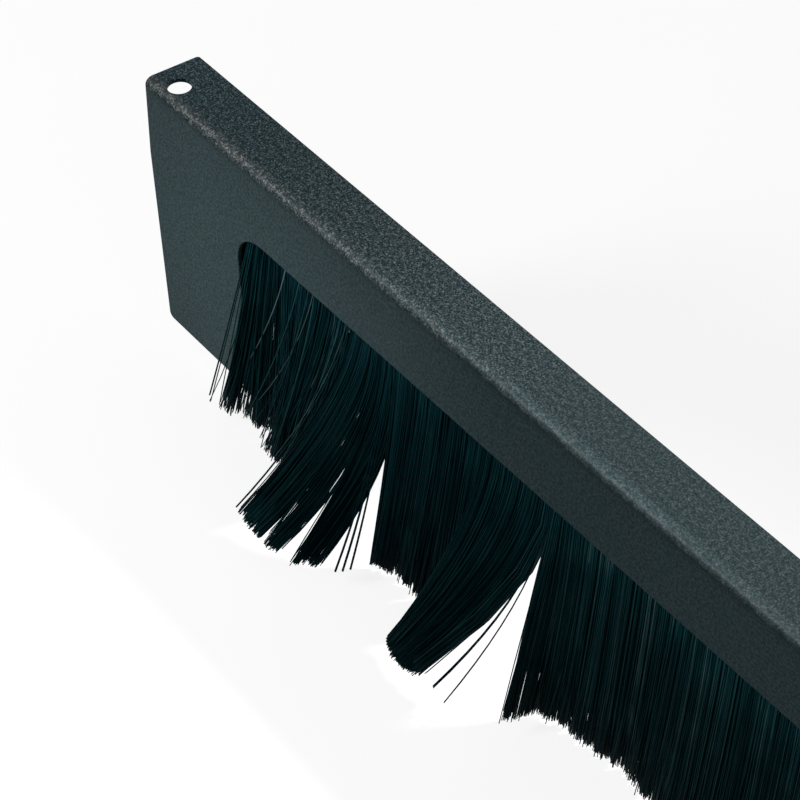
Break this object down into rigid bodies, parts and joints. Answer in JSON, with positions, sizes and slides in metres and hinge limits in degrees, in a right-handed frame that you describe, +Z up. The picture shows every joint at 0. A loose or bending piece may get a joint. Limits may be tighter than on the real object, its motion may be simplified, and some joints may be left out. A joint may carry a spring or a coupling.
{
  "type": "rack brush strip panel",
  "caption": "Folded steel rack panel with a wide cut-out closed by hanging black bristles, parted where cable bundles pass, and screw holes in its rearward top flange.",
  "frame": {"origin": "midway between the two screw holes, on the flange's upper face", "axes": "+X along the panel to the right as seen from its front, +Y from the face to the rear, +Z up"},
  "size_m": [0.4826, 0.0482, 0.0967],
  "materials": {
    "panel_paint": "fine textured black powder coat",
    "retainer_paint": "fine textured black powder coat",
    "channel_steel": "bright zinc plate",
    "wire_steel": "drawn wire",
    "stud_steel": "bright zinc plate",
    "washer_steel": "bright zinc plate",
    "nut_steel": "bright zinc plate",
    "bristle_fibre": "black nylon monofilament with a slight sheen"
  },
  "bodies": {
    "root": {"panel": "panel_paint", "retainer": "retainer_paint", "channel": "channel_steel", "core_wire": "wire_steel", "stud_1": "stud_steel", "stud_2": "stud_steel", "stud_3": "stud_steel", "stud_4": "stud_steel", "stud_5": "stud_steel", "washer_1": "washer_steel", "washer_2": "washer_steel", "washer_3": "washer_steel", "washer_4": "washer_steel", "washer_5": "washer_steel", "nut_1": "nut_steel", "nut_2": "nut_steel", "nut_3": "nut_steel", "nut_4": "nut_steel", "nut_5": "nut_steel", "bristles_left_end": "bristle_fibre", "bristles_first_sweep": "bristle_fibre", "bristles_middle": "bristle_fibre", "bristles_second_sweep": "bristle_fibre", "bristles_right_run": "bristle_fibre"}
  },
  "joints": []
}
